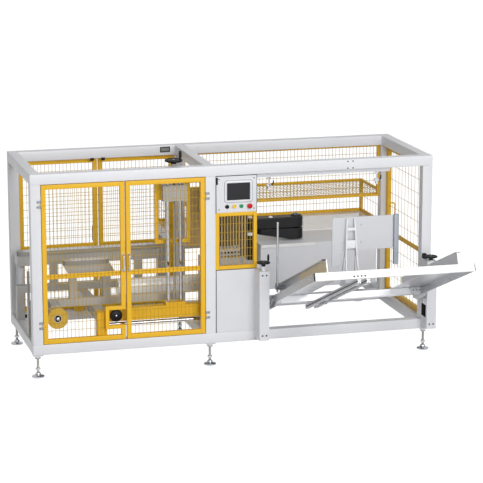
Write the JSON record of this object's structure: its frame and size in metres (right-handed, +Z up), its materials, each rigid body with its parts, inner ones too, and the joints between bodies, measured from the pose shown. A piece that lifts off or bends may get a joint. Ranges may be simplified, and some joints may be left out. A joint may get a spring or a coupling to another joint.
{
  "type": "case erector",
  "caption": "Guarded carton case erector: tube frame with mesh doors, control panel, tilted blank magazine with pusher, folding arm, taping bed and rear mesh bay.",
  "frame": {"origin": "middle of the underside of the front left levelling foot, on the floor", "axes": "+X along the packing line from the discharge end to the magazine end, +Y to the back, +Z up"},
  "size_m": [3.256, 2.9634, 1.6852],
  "materials": {
    "frame_white": "light grey powder coat",
    "panel_grey": "pale grey sheet, powder coated",
    "guard_yellow": "golden yellow powder coat",
    "bed_grey": "machine grey enamel",
    "deck_white": "glossy white sheet",
    "stainless": "brushed stainless steel",
    "ground_steel": "ground and chromed bar",
    "black_plastic": "black moulded handwheel",
    "arm_black": "satin black enamel",
    "belt_grey": "grey flat belt",
    "tape_yellow": "clear yellowish tape on a roll",
    "screen_plastic": "pale grey moulding with a dark display",
    "button_plastic": "coloured moulded caps"
  },
  "bodies": {
    "frame": {"posts": "frame_white", "top_long_rails": "frame_white", "top_cross_rails": "frame_white", "bottom_long_rails": "frame_white", "bottom_cross_rails": "frame_white", "bay_rails": "frame_white", "magazine_columns": "frame_white", "control_box": "panel_grey", "lower_cabinet": "panel_grey", "robot_table": "panel_grey", "guard_window": "guard_yellow", "cage_walls": "guard_yellow", "cage_roof": "guard_yellow", "bed_posts": "guard_yellow", "lift_beam": "guard_yellow", "mast_base": "guard_yellow", "bed_cross_tubes": "bed_grey", "bed_rails": "bed_grey", "belt_units": "bed_grey", "belt_motor": "bed_grey", "tape_bracket": "bed_grey", "mast_head": "bed_grey", "bay_deck": "deck_white", "transfer_cover": "deck_white", "leveling_feet": "stainless", "door_hinges": "stainless", "sensor_rail": "stainless", "chrome_rods": "ground_steel", "robot_pedestal": "arm_black", "valve_panel": "arm_black", "drive_belts": "belt_grey", "operator_screen": "screen_plastic", "push_buttons": "button_plastic"},
    "front_left_door": {"front_left_door": "guard_yellow", "front_left_handle": "stainless"},
    "front_right_door": {"front_right_door": "guard_yellow", "front_right_handle": "stainless"},
    "back_left_door": {"back_left_door": "guard_yellow", "back_left_handle": "stainless"},
    "back_right_door": {"back_right_door": "guard_yellow", "back_right_handle": "stainless"},
    "end_door": {"end_door": "guard_yellow", "end_door_mesh": "guard_yellow"},
    "arm_link_one": {"robot_upper_arm": "arm_black"},
    "arm_link_two": {"robot_forearm": "arm_black"},
    "tape_reel": {"tape_reel": "tape_yellow"},
    "beam_wheel": {"beam_handwheel": "black_plastic"},
    "mast_wheel": {"mast_handwheel": "black_plastic"},
    "mast_slider": {"mast_carriage": "guard_yellow"},
    "left_wheel": {"left_column_wheel": "black_plastic"},
    "right_wheel": {"right_column_wheel": "black_plastic"},
    "magazine": {"pivot_beam": "stainless", "tray_side_plates": "stainless", "tray_front_bar": "deck_white", "tray_struts": "stainless", "tray_floor_plates": "stainless", "tray_guides": "stainless", "tray_rods": "ground_steel"},
    "pusher": {"pusher_plate": "stainless", "pusher_arm": "deck_white"}
  },
  "joints": [
    {"name": "front_left_door_hinge", "type": "hinge", "parent": "frame", "child": "front_left_door", "pos_m": [0.04, -0.047, 0.26], "axis": [0, 0, -1], "range_deg": [0, 110]},
    {"name": "front_right_door_hinge", "type": "hinge", "parent": "frame", "child": "front_right_door", "pos_m": [1.316, -0.047, 0.26], "axis": [0, 0, 1], "range_deg": [0, 110]},
    {"name": "back_left_door_hinge", "type": "hinge", "parent": "frame", "child": "back_left_door", "pos_m": [0.04, 1.047, 0.26], "axis": [0, 0, 1], "range_deg": [0, 110]},
    {"name": "back_right_door_hinge", "type": "hinge", "parent": "frame", "child": "back_right_door", "pos_m": [1.316, 1.047, 0.26], "axis": [0, 0, -1], "range_deg": [0, 85]},
    {"name": "end_door_hinge", "type": "hinge", "parent": "frame", "child": "end_door", "pos_m": [3.167, 0.04, 0.26], "axis": [0, 0, -1], "range_deg": [0, 100]},
    {"name": "arm_shoulder", "type": "hinge", "parent": "frame", "child": "arm_link_one", "pos_m": [1.885, 0.73, 0.9], "axis": [0, 0, 1], "range_deg": [-50, 50]},
    {"name": "arm_elbow", "type": "hinge", "parent": "arm_link_one", "child": "arm_link_two", "pos_m": [2.27, 0.73, 0.9], "axis": [0, 0, 1], "range_deg": [0, 140]},
    {"name": "tape_reel_spin", "type": "hinge", "parent": "frame", "child": "tape_reel", "pos_m": [0.162, 0.032, 0.447], "axis": [0, 1, 0], "continuous": true},
    {"name": "beam_wheel_spin", "type": "hinge", "parent": "frame", "child": "beam_wheel", "pos_m": [0.619, 0.03, 0.438], "axis": [0, 1, 0], "continuous": true},
    {"name": "mast_wheel_spin", "type": "hinge", "parent": "frame", "child": "mast_wheel", "pos_m": [1.1, 0.1, 1.605], "axis": [0, 0, 1], "continuous": true},
    {"name": "mast_slide", "type": "slide", "parent": "frame", "child": "mast_slider", "axis": [0, 0, 1], "range_m": [-0.3, 0.018]},
    {"name": "left_wheel_spin", "type": "hinge", "parent": "frame", "child": "left_wheel", "pos_m": [1.746, -0.152, 0.8], "axis": [0, 0, 1], "continuous": true},
    {"name": "right_wheel_spin", "type": "hinge", "parent": "frame", "child": "right_wheel", "pos_m": [3.12, -0.152, 0.78], "axis": [0, 0, 1], "continuous": true},
    {"name": "magazine_lift", "type": "slide", "parent": "frame", "child": "magazine", "axis": [0, 0, 1], "range_m": [-0.08, 0.12]},
    {"name": "pusher_slide", "type": "slide", "parent": "magazine", "child": "pusher", "axis": [0, 0.9304, -0.3665], "range_m": [-0.08, 0.55]}
  ]
}
